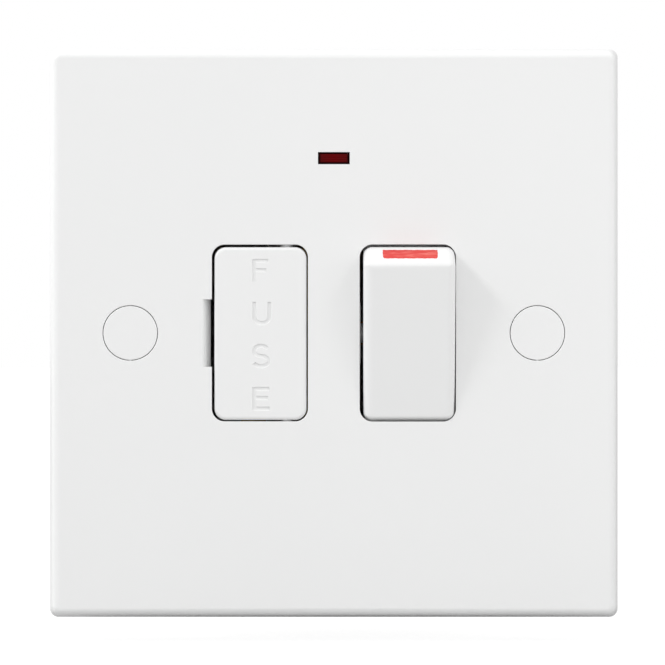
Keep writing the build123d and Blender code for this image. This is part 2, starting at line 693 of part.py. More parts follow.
# Plungers and springs: round-nosed plungers pressed onto the see-saw contacts
for pole, x in (("live", live_x), ("neutral", neutral_x)):
    pole_side = side(x, pivot_h, ROCKER_TILT)
    nose = -tip_reach - PLUNGER_TIP_R
    shoulder = nose + PLUNGER_TIP_R + PLUNGER_D / 2
    head = -tip_reach + PLUNGER_BODY
    with BuildPart() as plunger:
        with BuildSketch(pole_side):
            with BuildLine():
                Polyline(
                    (nose + PLUNGER_TIP_R, PLUNGER_TIP_R),
                    (shoulder, PLUNGER_D / 2),
                    (head, PLUNGER_D / 2),
                    (head, 0),
                    (nose, 0),
                )
                RadiusArc((nose, 0), (nose + PLUNGER_TIP_R, PLUNGER_TIP_R), PLUNGER_TIP_R)
            make_face()
        revolve(axis=Axis(pole_side.origin, pole_side.x_dir))
    save(plunger, f"plunger_{pole}")
    coil_r = PLUNGER_D / 2 - SPRING_WIRE / 2
    coil_height = SPRING_LENGTH - SPRING_WIRE - 2 * POCKET_GAP
    coil_start = pole_side.origin + pole_side.x_dir * (head + SPRING_WIRE / 2 + POCKET_GAP)
    with BuildPart() as spring:
        with BuildLine():
            pitch = coil_height / SPRING_COILS
            coil = Helix(pitch, coil_height, coil_r, coil_start, pole_side.x_dir)
        with BuildSketch(Plane(coil @ 0, z_dir=coil % 0)):
            Circle(SPRING_WIRE / 2)
        sweep(path=coil, is_frenet=True)
    save(spring, f"spring_{pole}")

# See-saw contacts: V-bent bars with a round knuckle below and a silver tip at the upper end
for pole, x in (("live", live_x), ("neutral", neutral_x)):
    bar_side = side(x, contact_h, -CONTACT_TILT)
    lean, rise = sin(radians(CONTACT_TILT)), cos(radians(CONTACT_TILT))
    wing = Vector(lean, rise) * CONTACT_ARM
    thick = Vector(rise, -lean) * CONTACT_BAR
    with BuildPart() as moving_contact:
        with BuildSketch(bar_side):
            with BuildLine():
                Polyline((0, 0), wing, wing + thick, (CONTACT_BAR / rise, 0))
                mirror(about=Plane.XZ)
            make_face()
            Circle(CONTACT_KNUCKLE_R)
        extrude(amount=CONTACT_W / 2, both=True)
    save(moving_contact, f"moving_contact_{pole}")
    with BuildPart() as moving_tip:
        with BuildSketch(front(contact_h)):
            with Locations((x, TIP_REACH)):
                Circle(TIP_D / 2)
        extrude(amount=-TIP_THICK)
    save(moving_tip, f"moving_tip_{pole}")

# Fuse carrier: a face with a snap cradle, a hinge barrel and two pins
with BuildPart() as fuse_carrier:
    with BuildSketch(front(face_h)):
        with Locations((carrier_x, carrier_z)):
            RectangleRounded(carrier_w, carrier_h, CARRIER_R)
    extrude(amount=-CARRIER_WALL)
    fillet(fuse_carrier.faces().sort_by(Axis.Y)[0].edges(), CARRIER_EDGE_R)
    cradle_right = fuse.X + fuse_tube_r + SLIDE_GAP + CRADLE_WALL
    cradle_back = fuse.Y - CRADLE_GRIP
    cradle_w = cradle_right - carrier_left
    with BuildSketch(plan(carrier_z)):
        with Locations((hinge.X, hinge.Y)):
            Circle(hinge.X - carrier_left - SLIDE_GAP)
        with Locations((cradle_right - cradle_w / 2, (cradle_back + carrier_back_h) / 2)):
            Rectangle(cradle_w, carrier_back_h - cradle_back, mode=Mode.INTERSECT)
        with Locations((fuse.X, fuse.Y)):
            Circle(fuse_tube_r + SLIDE_GAP, mode=Mode.SUBTRACT)
    extrude(amount=FUSE_LENGTH / 2 - FUSE_CAP_LENGTH - SLIDE_GAP, both=True)
    for diameter, half_length in ((HINGE_BARREL_D, carrier_h / 2), (HINGE_PIN_D, pin_end)):
        with BuildSketch(plan(carrier_z)):
            with Locations((hinge.X, hinge.Y)):
                Circle(diameter / 2)
        extrude(amount=half_length, both=True)
save(fuse_carrier, "fuse_carrier")

# Cartridge fuse: a ceramic tube between two end caps
with BuildPart() as fuse_tube:
    with BuildSketch(plan(carrier_z)):
        with Locations((fuse.X, fuse.Y)):
            Circle(fuse_tube_r)
    extrude(amount=FUSE_LENGTH / 2 - FUSE_CAP_END, both=True)
save(fuse_tube, "fuse_tube")
with BuildPart() as fuse_end_caps:
    for end in (1, -1):
        with BuildSketch(plan(carrier_z + end * FUSE_LENGTH / 2)):
            with Locations((fuse.X, fuse.Y)):
                Circle(FUSE_CAP_D / 2)
        extrude(amount=end * FUSE_CAP_LENGTH)
    cap_circles = fuse_end_caps.edges().filter_by(GeomType.CIRCLE).group_by(Axis.Z)
    fillet(cap_circles[0] + cap_circles[-1], FUSE_CAP_EDGE_R)
    with BuildSketch(plan(carrier_z)):
        with Locations((fuse.X, fuse.Y)):
            Circle(fuse_tube_r)
    extrude(amount=FUSE_LENGTH / 2 - FUSE_CAP_END, both=True, mode=Mode.SUBTRACT)
save(fuse_end_caps, "fuse_end_caps")

# Neon indicator: a flanged lens, the lamp in its brackets, and its resistor and leads
with BuildPart() as neon_lens:
    with BuildSketch(front(lens_back_h)):
        with Locations((0, LENS_Z)):
            Rectangle(LENS_W, LENS_H)
    extrude(amount=face_h - lens_back_h)
    with BuildSketch(front(inner_h)):
        with Locations((0, LENS_Z)):
            Rectangle(LENS_W + 2 * LENS_FLANGE, LENS_H + 2 * LENS_FLANGE)
    extrude(amount=-LENS_FLANGE_THICK)
save(neon_lens, "neon_lens")
with BuildPart() as neon_lamp:
    with BuildSketch(side(0)):
        with Locations((lamp_h, LENS_Z)):
            Circle(LAMP_D / 2)
    extrude(amount=LAMP_LENGTH / 2, both=True)
    fillet(neon_lamp.edges().filter_by(GeomType.CIRCLE), LAMP_END_R)
save(neon_lamp, "neon_lamp")
resistor_top = LENS_Z - RESISTOR_DROP
resistor_foot = resistor_top - RESISTOR_LENGTH
with BuildPart() as neon_resistor:
    with BuildSketch(plan(resistor_top)):
        with Locations((resistor_x, lamp_h)):
            Circle(RESISTOR_D / 2)
    extrude(amount=RESISTOR_LENGTH)
    fillet(neon_resistor.edges().filter_by(GeomType.CIRCLE), RESISTOR_END_R)
save(neon_resistor, "neon_resistor")
with BuildPart() as neon_leads:
    routes = (
        (
            (-LAMP_LENGTH / 2, -lamp_h, LENS_Z),
            (resistor_x, -lamp_h, LENS_Z),
            (resistor_x, -lamp_h, resistor_top),
        ),
        (
            (LAMP_LENGTH / 2, -lamp_h, LENS_Z),
            (neutral_x, -lamp_h, LENS_Z),
            (neutral_x, -block_front_h - STRIP, LENS_Z),
        ),
    )
    for route in routes:
        with BuildLine():
            path = FilletPolyline(*route, radius=LEAD_BEND)
        with BuildSketch(Plane(path @ 0, z_dir=path % 0)):
            Circle(LEAD_D / 2)
        sweep(path=path)
    with BuildSketch(plan(resistor_foot)):
        with Locations((resistor_x, lamp_h)):
            Circle(LEAD_D / 2)
    extrude(amount=resistor_foot - carrier_z - clip_mid_z - CLIP_W / 2)
save(neon_leads, "neon_leads")
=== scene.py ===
"""Switched fused connection unit: finishes, lettering and studio around its CAD frame, in metres."""

import bmesh
import bpy
import numpy as np
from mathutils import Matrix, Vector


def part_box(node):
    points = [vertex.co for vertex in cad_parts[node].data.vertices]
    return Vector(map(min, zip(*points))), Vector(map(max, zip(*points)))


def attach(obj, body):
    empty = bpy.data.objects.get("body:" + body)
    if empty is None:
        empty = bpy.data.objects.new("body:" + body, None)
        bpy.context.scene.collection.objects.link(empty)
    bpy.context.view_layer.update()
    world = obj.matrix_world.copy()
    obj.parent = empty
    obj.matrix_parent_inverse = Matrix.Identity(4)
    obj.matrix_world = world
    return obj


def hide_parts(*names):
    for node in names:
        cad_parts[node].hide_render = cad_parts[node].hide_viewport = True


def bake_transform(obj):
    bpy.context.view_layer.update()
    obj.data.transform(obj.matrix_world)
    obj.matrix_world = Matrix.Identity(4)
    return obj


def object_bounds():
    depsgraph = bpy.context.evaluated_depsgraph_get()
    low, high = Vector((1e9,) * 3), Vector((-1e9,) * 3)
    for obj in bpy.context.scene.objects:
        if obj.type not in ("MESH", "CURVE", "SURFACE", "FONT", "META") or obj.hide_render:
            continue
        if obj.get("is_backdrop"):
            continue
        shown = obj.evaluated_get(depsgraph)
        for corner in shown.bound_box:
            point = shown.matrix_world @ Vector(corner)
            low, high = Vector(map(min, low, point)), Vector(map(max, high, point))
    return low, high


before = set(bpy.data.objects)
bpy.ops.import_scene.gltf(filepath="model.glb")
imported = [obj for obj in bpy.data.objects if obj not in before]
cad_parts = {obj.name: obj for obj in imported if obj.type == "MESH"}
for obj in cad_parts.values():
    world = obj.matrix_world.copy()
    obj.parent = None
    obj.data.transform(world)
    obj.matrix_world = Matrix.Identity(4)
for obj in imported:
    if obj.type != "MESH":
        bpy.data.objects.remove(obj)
cad_low, cad_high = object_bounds()


# Rear base: one off-white thermoset moulding, matt all over from a spark-eroded tool.
# Every conductor sits in its pockets, and four ears take the screws from the plate.
def shader_node(tree, kind, inputs=(), **settings):
    """Node with its settings and inputs: an input is a plain value, or another node's output."""
    made = tree.nodes.new(kind)
    for name, value in settings.items():
        setattr(made, name, value)
    for name, value in dict(inputs).items():
        if isinstance(value, bpy.types.NodeSocket):
            tree.links.new(value, made.inputs[name])
        else:
            made.inputs[name].default_value = value
    return made


def shader_group(name, inputs, outputs):
    """Empty node group with named sockets, given as name: (kind, value): its tree, its inputs, its end."""
    tree = bpy.data.node_groups.new(name, "ShaderNodeTree")
    for label, (kind, value) in inputs.items():
        socket = tree.interface.new_socket(label, in_out="INPUT", socket_type=f"NodeSocket{kind}")
        socket.default_value = value
    for label, kind in outputs.items():
        tree.interface.new_socket(label, in_out="OUTPUT", socket_type=f"NodeSocket{kind}")
    return tree, tree.nodes.new("NodeGroupInput").outputs, tree.nodes.new("NodeGroupOutput")


def maths(tree, operation, first, second):
    """Output of one Math node."""
    return shader_node(tree, "ShaderNodeMath", {0: first, 1: second}, operation=operation).outputs[0]


def mixed(tree, share, first, second):
    """Output of one colour Mix node."""
    return shader_node(
        tree, "ShaderNodeMix", {0: share, 6: first, 7: second}, data_type="RGBA"
    ).outputs[2]


def noise(tree, where, scale, detail=2.0):
    """Output of one Noise node on the given coordinates, from 0 to 1."""
    return shader_node(
        tree, "ShaderNodeTexNoise", {"Vector": where, "Scale": scale, "Detail": detail}
    ).outputs["Fac"]


def mould_skin_group():
    """Skin of a moulded piece: broad flow clouding in the colour, fine tool grain in gloss and height."""
    tree, given, end = shader_group(
        "mould_skin",
        {
            "Colour": ("Color", (0.8, 0.8, 0.8, 1)),
            "Cloud Colour": ("Color", (0.7, 0.7, 0.7, 1)),
            "Cloud Scale": ("Float", 60.0),
            "Grain Scale": ("Float", 5000.0),
            "Roughness": ("Float", 0.4),
            "Roughness Spread": ("Float", 0.1),
        },
        {"Colour": "Color", "Roughness": "Float", "Height": "Float"},
    )
    where = tree.nodes.new("ShaderNodeTexCoord").outputs["Object"]
    cloud = noise(tree, where, given["Cloud Scale"], 3.0)
    grain = noise(tree, where, given["Grain Scale"])
    spread = maths(tree, "MULTIPLY", maths(tree, "SUBTRACT", grain, 0.5), given["Roughness Spread"])
    links = tree.links.new
    links(mixed(tree, cloud, given["Colour"], given["Cloud Colour"]), end.inputs["Colour"])
    links(maths(tree, "ADD", given["Roughness"], spread), end.inputs["Roughness"])
    links(grain, end.inputs["Height"])
    return tree


def new_material(name, **shader_values):
    """Material with plain values on its own shader: the material, its tree and its shader's inputs."""
    material = bpy.data.materials.new(name)
    material.use_nodes = True
    sockets = material.node_tree.nodes["Principled BSDF"].inputs
    for label, value in shader_values.items():
        sockets[label.replace("_", " ")].default_value = value
    return material, material.node_tree, sockets


def roughen(tree, sockets, height, distance):
    """Bump of a given depth on a material's shader."""
    relief = shader_node(tree, "ShaderNodeBump", {"Height": height, "Distance": distance})
    tree.links.new(relief.outputs["Normal"], sockets["Normal"])


def material_from(name, group, values, bump, **shader_values):
    """Material with colour, roughness and bump from a surface group, and plain values on its shader."""
    material, tree, sockets = new_material(name, **shader_values)
    surface = shader_node(tree, "ShaderNodeGroup", node_tree=group)
    for label, value in values.items():
        surface.inputs[label].default_value = value
    tree.links.new(surface.outputs["Colour"], sockets["Base Color"])
    tree.links.new(surface.outputs["Roughness"], sockets["Roughness"])
    roughen(tree, sockets, surface.outputs["Height"], bump)
    return material


def coat(material, *nodes):
    """Gives CAD nodes their finish."""
    for name in nodes:
        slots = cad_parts[name].data.materials
        slots.clear()
        slots.append(material)


mould_skin = mould_skin_group()
base_moulding = material_from(
    "base_moulding",
    mould_skin,
    {
        "Colour": (0.66, 0.655, 0.63, 1),
        "Cloud Colour": (0.60, 0.595, 0.565, 1),
        "Cloud Scale": 70.0,
        "Grain Scale": 3500.0,
        "Roughness": 0.55,
        "Roughness Spread": 0.18,
    },
    bump=0.00002,
)
coat(base_moulding, "rear_base")


# Moulded marks on the base: raised capitals in the base's own plastic, read from behind, that tell the
# terminals and the two sides apart. Four rings are where the tool's ejector pins pushed the moulding out.
MM = 0.001
WELD, CREASE = 1e-8, 40


def new_piece(name, body, slot, points, faces, material, sharp=CREASE):
    """Piece on a body from points in millimetres and faces, smooth but for edges past an angle."""
    mesh = bpy.data.meshes.new(name)
    mesh.from_pydata((np.asarray(points).reshape(-1, 3) * MM).tolist(), [], faces)
    shell = bmesh.new()
    shell.from_mesh(mesh)
    bmesh.ops.remove_doubles(shell, verts=shell.verts, dist=WELD)
    bmesh.ops.recalc_face_normals(shell, faces=shell.faces)
    shell.to_mesh(mesh)
    shell.free()
    mesh.shade_smooth()
    mesh.set_sharp_from_angle(angle=np.radians(sharp))
    mesh.materials.append(material)
    piece = bpy.data.objects.new(name, mesh)
    bpy.context.scene.collection.objects.link(piece)
    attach(piece, body)
    return piece


def grid_faces(rows, columns, wrap=False, first=0):
    """Quads between neighbouring points of a grid, row after row, and across its seam where it wraps."""
    numbers = first + np.arange(rows * columns).reshape(rows, columns)
    if wrap:
        numbers = np.column_stack((numbers, numbers[:, :1]))
    corners = (numbers[:-1, :-1], numbers[1:, :-1], numbers[1:, 1:], numbers[:-1, 1:])
    return np.stack(corners, axis=-1).reshape(-1, 4).tolist()


STROKE, LETTER_GAP = 0.136, 0.26
LETTER_WIDTHS = {
    "A": 0.84, "D": 0.8, "E": 0.75, "F": 0.68, "L": 0.64, "N": 0.8,
    "O": 0.84, "P": 0.72, "S": 0.8, "U": 0.8, "Y": 0.8,
}


def bend(centre, radii, first, last, count=20):
    """Points on an ellipse from one angle to another, in degrees."""
    angle = np.radians(np.linspace(first, last, count))
    return np.asarray(centre) + np.column_stack((np.cos(angle), np.sin(angle))) * radii


def letter_paths(letter):
    """Centre lines of one capital whose height is 1: straight bars, and arcs of ellipses."""
    low, high = STROKE / 2, 1 - STROKE / 2
    post = [(low, 1), (low, 0)]
    right = LETTER_WIDTHS[letter] - low
    d_bow = bend((0.36, 0.5), (right - 0.36, high - 0.5), 90, -90)
    p_bow = bend((0.4, 0.7), (right - 0.4, high - 0.7), 90, -90)
    s_upper = bend((0.367, 0.725), (0.308, 0.225), 24, 248)
    s_lower = bend((0.367, 0.275), (0.334, 0.225), 68, -156)
    u_bow = bend((0.4, low + 0.281), (right - 0.4, 0.281), 180, 360)
    capitals = {
        "A": ([(0.05, 0), (0.42, 1)], [(0.79, 0), (0.42, 1)], [(0.17, 0.3), (0.67, 0.3)]),
        "D": (post, np.vstack(((low, high), d_bow, (low, low)))),
        "E": (
            post,
            [(low, high), (0.731, high)],
            [(low, 0.538), (0.678, 0.538)],
            [(low, low), (0.757, low)],
        ),
        "F": (post, [(low, high), (0.678, high)], [(low, 0.524), (0.6, 0.524)]),
        "L": (post, [(low, low), (right, low)]),
        "N": (post, [(right, 1), (right, 0)], [(low, 1), (right, 0)]),
        "O": (bend((0.42, 0.5), (0.42 - low, high - 0.5), 90, 450, 44),),
        "P": (post, np.vstack(((low, high), p_bow, (low, 1.4 - high)))),
        "S": (np.vstack((s_upper, s_lower)),),
        "U": (np.vstack(((low, 1), u_bow, (right, 1))),),
        "Y": ([(low, 1), (0.4, 0.45)], [(right, 1), (0.4, 0.45)], [(0.4, 0.5), (0.4, 0)]),
    }
    return [np.asarray(path, float) for path in capitals[letter]]


def word_paths(word, left, foot, height):
    """Centre lines of a word from its left end and its foot, each letter set off by those before it."""
    steps = np.cumsum([0] + [LETTER_WIDTHS[letter] + LETTER_GAP for letter in word])
    return [
        path * height + (left + step * height, foot)
        for letter, step in zip(word, steps)
        for path in letter_paths(letter)
    ]


def stroke_skin(path, profile):
    """Closed stroke on a flat surface: a profile, half-width against lift, carried along a path in it.

    Every profile stands on the mitre of its two runs. Both ends slide along the path by as much as the
    profile is wider or narrower than at its second point, so that they lean as the sides do.
    Gives the points in the surface and their lifts, ring after ring.
    """
    runs = np.diff(path, axis=0)
    runs /= np.linalg.norm(runs, axis=1)[:, None]
    before, after = np.vstack((runs[:1], runs)), np.vstack((runs, runs[-1:]))
    tangent = (before + after) / (1 + np.sum(before * after, axis=1))[:, None]
    across = np.column_stack((-tangent[:, 1], tangent[:, 0]))
    half, lift = np.array(profile).T
    half, lift = np.append(half, -half[::-1]), np.append(lift, lift[::-1])
    slide = np.zeros(len(path))
    slide[0], slide[-1] = -1, 1
    spread = (np.abs(half) - half[1])[None, :, None] * (slide[:, None] * tangent)[:, None, :]
    flat = path[:, None, :] + across[:, None, :] * half[None, :, None] + spread
    return flat, np.broadcast_to(lift, flat.shape[:2])


def join_skins(skins):
    """Points and faces of many closed strokes, each a grid of rings with a face on both ends."""
    points, faces, first = [], [], 0
    for skin in skins:
        rows, columns = skin.shape[:2]
        end = first + (rows - 1) * columns
        faces += grid_faces(rows, columns, True, first)
        faces += [list(range(first, first + columns)), list(range(end, end + columns))]
        points.append(skin.reshape(-1, 3))
        first += rows * columns
    return np.vstack(points), faces


REAR_Y, MARK_H = 15.0, 2.4
MARK_PROFILE = ((0.24, -0.05), (0.21, 0.03), (0.19, 0.27), (0.15, 0.33), (0.07, 0.35))
CROSSING_STEP, CROSSINGS = 0.002, 4
WORDS = (
    ("E", 3.0, 20.0), ("L", -7.71, 20.0), ("N", -15.61, 20.0), ("SUPPLY", -6.4, 15.4),
    ("L", 12.54, -22.2), ("E", 3.0, -22.2), ("N", -15.61, -22.2), ("LOAD", 0.0, -17.6),
)
PIN_R, PIN_PLACES = 2.0, ((-18.0, 8.0), (18.0, 8.0), (-18.0, -8.0), (18.0, -8.0))
PIN_PROFILE = ((0.14, -0.05), (0.1, 0.01), (0.06, 0.04), (0.02, 0.05))


def on_rear(path, profile, extra=0.0):
    """Stroke on the base's rear face, read from behind: its X runs the other way, its lift is along Y."""
    flat, lift = stroke_skin(path, profile)
    return np.stack((-flat[..., 0], REAR_Y + lift + extra, flat[..., 1]), axis=-1)


# Strokes that cross differ a little in lift, so that their tops never lie in one plane.
marks = []
for word, middle, foot in WORDS:
    width = (sum(LETTER_WIDTHS[letter] for letter in word) + LETTER_GAP * (len(word) - 1)) * MARK_H
    for number, path in enumerate(word_paths(word, middle - width / 2, foot, MARK_H)):
        marks.append(on_rear(path, MARK_PROFILE, CROSSING_STEP * (number % CROSSINGS)))
for place in PIN_PLACES:
    marks.append(on_rear(bend(place, (PIN_R, PIN_R), 0, 360, count=48), PIN_PROFILE))
new_piece("base_marks", "housing", "base_moulding", *join_skins(marks), base_moulding)


# Terminal blocks, strips and see-saw contacts: drawn and rolled brass, dulled a little by handling.
# The blocks drop into the base's pockets, and the strips lie on their fronts.
ROLLED = (1, 1, 0.05)
TARNISH_FROM, TARNISH_FULL, STREAK_SHARE = 0.42, 0.72, 0.6


def risen(tree, value, start, full):
    """Output of one Map Range node: 0 at the start, 1 where it is full, and held beyond both."""
    return shader_node(
        tree, "ShaderNodeMapRange", {"Value": value, "From Min": start, "From Max": full}
    ).outputs[0]


def worked_metal_group():
    """Worked metal: long streaks along Z from rolling, and patches of duller and darker tarnish."""
    tree, given, end = shader_group(
        "worked_metal",
        {
            "Colour": ("Color", (0.7, 0.7, 0.7, 1)),
            "Tarnish": ("Color", (0.4, 0.4, 0.4, 1)),
            "Tarnish Scale": ("Float", 180.0),
            "Streak Scale": ("Float", 6000.0),
            "Roughness": ("Float", 0.25),
            "Roughness Spread": ("Float", 0.2),
        },
        {"Colour": "Color", "Roughness": "Float", "Height": "Float"},
    )
    where = tree.nodes.new("ShaderNodeTexCoord").outputs["Object"]
    drawn = shader_node(tree, "ShaderNodeMapping", {"Vector": where, "Scale": ROLLED}).outputs[0]
    streak = noise(tree, drawn, given["Streak Scale"])
    patch = noise(tree, where, given["Tarnish Scale"], 4.0)
    dull = risen(tree, patch, TARNISH_FROM, TARNISH_FULL)
    uneven = maths(tree, "ADD", maths(tree, "MULTIPLY", streak, STREAK_SHARE), dull)
    wear = maths(tree, "MULTIPLY", uneven, given["Roughness Spread"])
    links = tree.links.new
    links(mixed(tree, dull, given["Colour"], given["Tarnish"]), end.inputs["Colour"])
    links(maths(tree, "ADD", given["Roughness"], wear), end.inputs["Roughness"])
    links(streak, end.inputs["Height"])
    return tree


worked_metal = worked_metal_group()
brass = material_from(
    "brass",
    worked_metal,
    {
        "Colour": (0.74, 0.50, 0.20, 1),
        "Tarnish": (0.52, 0.33, 0.13, 1),
        "Roughness": 0.24,
        "Roughness Spread": 0.16,
    },
    bump=0.000006,
    Metallic=1.0,
)
blocks = [f"{end}_{pole}_block" for end in ("supply", "load") for pole in ("earth", "live", "neutral")]
strips = ["supply_live_strip", "supply_neutral_strip", "live_link", "load_live_strip",
          "load_neutral_strip", "earth_strap"]
coat(brass, *blocks, *strips, "moving_contact_live", "moving_contact_neutral")


# Contact tips: buttons of silver alloy, where the switch makes and breaks the current.
# They are riveted to the supply strips and to the see-saw bars.
silver = material_from(
    "silver",
    worked_metal,
    {
        "Colour": (0.86, 0.85, 0.82, 1),
        "Tarnish": (0.55, 0.52, 0.46, 1),
        "Tarnish Scale": 500.0,
        "Roughness": 0.2,
        "Roughness Spread": 0.25,
    },
    bump=0.000004,
    Metallic=1.0,
)
coat(silver, "fixed_tips", "moving_tip_live", "moving_tip_neutral")


# Screws: zinc-plated steel, with the cloudy blue-grey of the plating.
# Six pinch the wires in the terminals, and four self-tapping ones hold the base on the plate.
steel = material_from(
    "steel",
    worked_metal,
    {
        "Colour": (0.60, 0.61, 0.63, 1),
        "Tarnish": (0.42, 0.43, 0.45, 1),
        "Tarnish Scale": 300.0,
        "Roughness": 0.28,
        "Roughness Spread": 0.2,
    },
    bump=0.000005,
    Metallic=1.0,
)
coat(steel, "base_screws", "terminal_screws")


# Plungers: turned natural nylon, slightly waxy, with a round nose that tips the see-saw bar.
# One slides in each tube of the rocker, with its spring behind it.
nylon = material_from(
    "plunger_nylon",
    mould_skin,
    {
        "Colour": (0.72, 0.68, 0.56, 1),
        "Cloud Colour": (0.66, 0.61, 0.48, 1),
        "Cloud Scale": 300.0,
        "Grain Scale": 6000.0,
        "Roughness": 0.42,
        "Roughness Spread": 0.1,
    },
    bump=0.000006,
)
coat(nylon, "plunger_live", "plunger_neutral")


# Front plate and caps: white urea moulding with a low gloss, from one tool with a fine even skin.
# The caps push into the fixing holes and lie flush.
white_moulding = material_from(
    "white_moulding",
    mould_skin,
    {
        "Colour": (0.84, 0.842, 0.84, 1),
        "Cloud Colour": (0.825, 0.828, 0.826, 1),
        "Cloud Scale": 45.0,
        "Grain Scale": 7000.0,
        "Roughness": 0.34,
        "Roughness Spread": 0.08,
    },
    bump=0.000003,
)
coat(white_moulding, "front_plate", "screw_cap_left", "screw_cap_right")


# Rocker: the same white moulding, on two trunnions in the plate's saddle ribs. The ridge between its face
# and its upper end is polished to a soft round, where fingers press it. Under the plate's face that end is
# relieved, so that the gap round it looks deep.
PIVOT_Y, END_R = -3.6, 13.759
ROCKER_FACE, ROCKER_TILT = 7.569, np.radians(8.9)
RIDGE_R, RIDGE_BITE, CUT_OUT = 1.5, 0.004, 1.0
RELIEF_R, RELIEF_START, RELIEF_END = 12.9, np.radians(76.5), np.radians(93.0)


def arc_bar(out, up, start, end, inside, outside, steps=24):
    """Bar along X, past both flanks, between two arcs of one centre, turned by the rocker's tilt.

    The centre is given from the pivot, out towards the face and up along it. A corner is the centre plus
    the inside or outside radius at an angle that starts from straight out.
    """
    angle = np.linspace(start, end, steps)
    angle = np.concatenate((angle, angle[::-1]))
    radius = np.repeat((inside, outside), steps)
    out, up = out + radius * np.cos(angle), up + radius * np.sin(angle)
    y = PIVOT_Y - out * np.cos(ROCKER_TILT) - up * np.sin(ROCKER_TILT)
    z = up * np.cos(ROCKER_TILT) - out * np.sin(ROCKER_TILT)
    low, high = (corner.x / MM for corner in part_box("rocker"))
    ends = (low - CUT_OUT, high + CUT_OUT)
    return np.stack([np.stack((np.full_like(y, x), y, z), axis=-1) for x in ends])


def apply_modifier(piece, modifier):
    """Gives a piece the mesh that a modifier makes of it, and takes the modifier off."""
    done = bpy.data.meshes.new_from_object(piece.evaluated_get(bpy.context.evaluated_depsgraph_get()))
    piece.modifiers.remove(modifier)
    piece.data = done


CAD_WELD = 1e-7


def cut_copy(node, name, cutter):
    """Copy of a CAD node with a cutter's volume taken out of it, in white moulding; the cutter is used up.

    The node's own corner normals come off first: they don't fit the new edges, and would hide sharp ones.
    """
    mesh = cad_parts[node].data.copy()
    if mesh.has_custom_normals:
        mesh.attributes.remove(mesh.attributes["custom_normal"])
    shell = bmesh.new()
    shell.from_mesh(mesh)
    bmesh.ops.remove_doubles(shell, verts=shell.verts, dist=CAD_WELD)
    shell.to_mesh(mesh)
    shell.free()
    piece = bpy.data.objects.new(name, mesh)
    bpy.context.scene.collection.objects.link(piece)
    cut = piece.modifiers.new("cut", "BOOLEAN")
    cut.object = cutter
    cut.operation = "DIFFERENCE"
    cut.solver = "EXACT"
    cut.use_self = True
    apply_modifier(piece, cut)
    bpy.data.objects.remove(cutter)
    piece.data.materials.clear()
    piece.data.materials.append(white_moulding)
    return piece


FLAT_AREA, FLAT_DIGITS, FLAT_STRENGTH = 8e-6, 3, 16384
STRENGTHS = "__mod_weightednormals_faceweight"


def keep_flats(piece, sharp=CREASE):
    """Shades a piece smooth, but for edges past an angle, with every flat even up to its rim.

    A flat is all faces that look one way, where they cover a good area together. Weighted normals then take
    a flat's own direction along its rim, and the rounds beside it start from there.
    """
    mesh = piece.data
    mesh.shade_smooth()
    mesh.set_sharp_from_angle(angle=np.radians(sharp))
    normals, areas = np.empty(3 * len(mesh.polygons)), np.empty(len(mesh.polygons))
    mesh.polygons.foreach_get("normal", normals)
    mesh.polygons.foreach_get("area", areas)
    ways = normals.reshape(-1, 3).round(FLAT_DIGITS) + 0.0
    group = np.unique(ways, axis=0, return_inverse=True)[1].ravel()
    flat = np.bincount(group, areas)[group] > FLAT_AREA
    strength = mesh.attributes.new(STRENGTHS, "INT", "FACE")
    strength.data.foreach_set("value", np.where(flat, FLAT_STRENGTH, 0).astype(np.int32))
    weigh = piece.modifiers.new("flats", "WEIGHTED_NORMAL")
    weigh.keep_sharp = True
    weigh.use_face_influence = True
    apply_modifier(piece, weigh)
    piece.data.attributes.remove(piece.data.attributes[STRENGTHS])


# The ridge's arc lies its radius below the face and inside the end's circle, and bites a little deeper.
ridge_out = ROCKER_FACE - RIDGE_R
ridge_up = np.sqrt((END_R - RIDGE_R) ** 2 - ridge_out**2)
ridge_turn = np.arctan2(ridge_up, ridge_out)
bars = [
    arc_bar(ridge_out, ridge_up, 0, ridge_turn, RIDGE_R - RIDGE_BITE, RIDGE_R + CUT_OUT),
    arc_bar(0, 0, RELIEF_START, RELIEF_END, RELIEF_R, END_R + CUT_OUT),
]
cutter = new_piece("rocker_cutter", "rocker", "white_moulding", *join_skins(bars), white_moulding)
rocker = cut_copy("rocker", "rocker_rounded", cutter)
keep_flats(rocker)
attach(rocker, "rocker")
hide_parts("rocker")


# Springs: coils of plated steel wire, one behind each plunger in the rocker's tubes.
PUSH = np.array((0, -np.cos(ROCKER_TILT), -np.sin(ROCKER_TILT)))
for pole in ("live", "neutral"):
    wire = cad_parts[f"spring_{pole}"].data.copy()
    wire.materials.clear()
    wire.materials.append(steel)
    coil = bpy.data.objects.new(f"spring_{pole}_coil", wire)
    bpy.context.scene.collection.objects.link(coil)
    points = np.array([corner.co for corner in wire.vertices])
    along, middle = points @ PUSH, points.mean(axis=0)
    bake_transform(coil)
    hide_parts(f"spring_{pole}")


